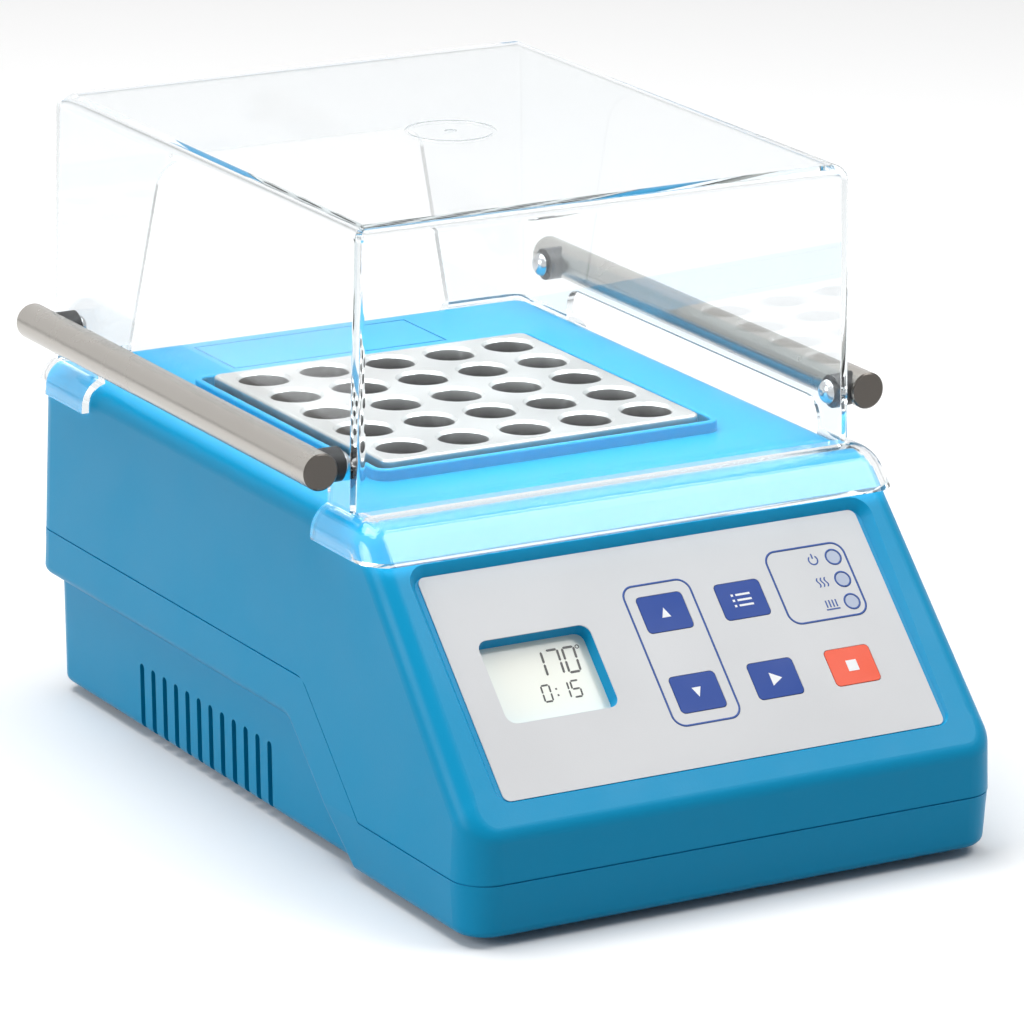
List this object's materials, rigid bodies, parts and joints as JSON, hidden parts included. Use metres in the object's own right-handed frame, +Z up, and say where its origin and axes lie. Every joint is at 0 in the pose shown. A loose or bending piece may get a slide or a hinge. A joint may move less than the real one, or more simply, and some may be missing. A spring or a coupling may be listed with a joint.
{
  "type": "test tube thermoreactor",
  "caption": "Bench heater block for test tubes, with a sloped control panel, keys and display, and a clear lift-off cover carried by two steel bars.",
  "frame": {"origin": "middle of the outline in plan, at the bench under the feet", "axes": "+Z up, -Y towards the operator and the control panel, +X to the operator's right"},
  "size_m": [0.2108, 0.3036, 0.2058],
  "materials": {
    "shell_blue": "fine satin moulded blue plastic",
    "film": "pale grey matt panel film",
    "key_blue": "blue keys",
    "key_orange": "orange-red key",
    "lens": "frosted indicator lenses",
    "display": "liquid crystal glass",
    "clear_plastic": "clear polished plastic",
    "steel_bar": "turned stainless bar",
    "steel": "steel",
    "zinc": "zinc-plated screws",
    "black_plastic": "black plastic",
    "rubber": "black rubber",
    "silicone": "dark silicone",
    "aluminium": "machined aluminium",
    "mineral_wool": "mineral wool",
    "mica": "mica heater plate",
    "board": "green circuit board",
    "grey_plastic": "grey plastic cases",
    "core": "laminated core",
    "copper": "plated contacts",
    "fuse_glass": "fuse"
  },
  "bodies": {
    "housing": {"upper_housing": "shell_blue", "lower_housing": "shell_blue", "housing_screws": "zinc", "feet": "rubber", "panel_film": "film", "status_lamps": "lens", "display_glass": "display", "display_frame": "steel", "control_board": "board", "key_switches": "black_plastic", "control_board_screws": "zinc", "ribbon_cable": "grey_plastic", "heater_block": "aluminium", "plate_heater": "mica", "clamp_plate": "steel", "block_screws": "zinc", "block_spacers": "steel", "insulation": "mineral_wool", "heat_shield": "steel", "shield_screws": "zinc", "block_seal": "silicone", "temperature_probe": "steel", "thermal_cutout": "grey_plastic", "power_board": "board", "transformer": "core", "triac": "black_plastic", "triac_heatsink": "aluminium", "relay": "grey_plastic", "filter_capacitor": "grey_plastic", "terminal_strip": "grey_plastic", "power_board_screws": "zinc", "inlet_body": "black_plastic", "inlet_contacts": "copper", "inlet_screws": "zinc", "rocker_frame": "black_plastic"},
    "cover": {"cover_shell": "clear_plastic", "left_bar": "steel_bar", "right_bar": "steel_bar", "bar_standoffs": "black_plastic", "bar_screws": "steel"},
    "up_key": {"up_key": "key_blue"},
    "down_key": {"down_key": "key_blue"},
    "program_key": {"program_key": "key_blue"},
    "start_key": {"start_key": "key_blue"},
    "stop_key": {"stop_key": "key_orange"},
    "rocker": {"rocker": "black_plastic"},
    "fuse_drawer": {"fuse_drawer": "black_plastic", "fuse": "fuse_glass"}
  },
  "joints": [
    {"name": "cover_lift", "type": "slide", "parent": "housing", "child": "cover", "axis": [0, 0, 1], "range_m": [0, 0.15]},
    {"name": "up_key_press", "type": "slide", "parent": "housing", "child": "up_key", "axis": [0, 0.7022, -0.712], "range_m": [0, 0.0005], "stiffness_N_per_m": 400, "springref_m": -0.001},
    {"name": "down_key_press", "type": "slide", "parent": "housing", "child": "down_key", "axis": [0, 0.7022, -0.712], "range_m": [0, 0.0005], "stiffness_N_per_m": 400, "springref_m": -0.001},
    {"name": "program_key_press", "type": "slide", "parent": "housing", "child": "program_key", "axis": [0, 0.7022, -0.712], "range_m": [0, 0.0005], "stiffness_N_per_m": 400, "springref_m": -0.001},
    {"name": "start_key_press", "type": "slide", "parent": "housing", "child": "start_key", "axis": [0, 0.7022, -0.712], "range_m": [0, 0.0005], "stiffness_N_per_m": 400, "springref_m": -0.001},
    {"name": "stop_key_press", "type": "slide", "parent": "housing", "child": "stop_key", "axis": [0, 0.7022, -0.712], "range_m": [0, 0.0005], "stiffness_N_per_m": 400, "springref_m": -0.001},
    {"name": "rocker_tilt", "type": "hinge", "parent": "housing", "child": "rocker", "pos_m": [-0.025, 0.14304, 0.02248], "axis": [1, 0, 0], "range_deg": [0, 24]},
    {"name": "fuse_drawer_slide", "type": "slide", "parent": "housing", "child": "fuse_drawer", "axis": [0, 0.9998, -0.0209], "range_m": [0, 0.014]}
  ]
}
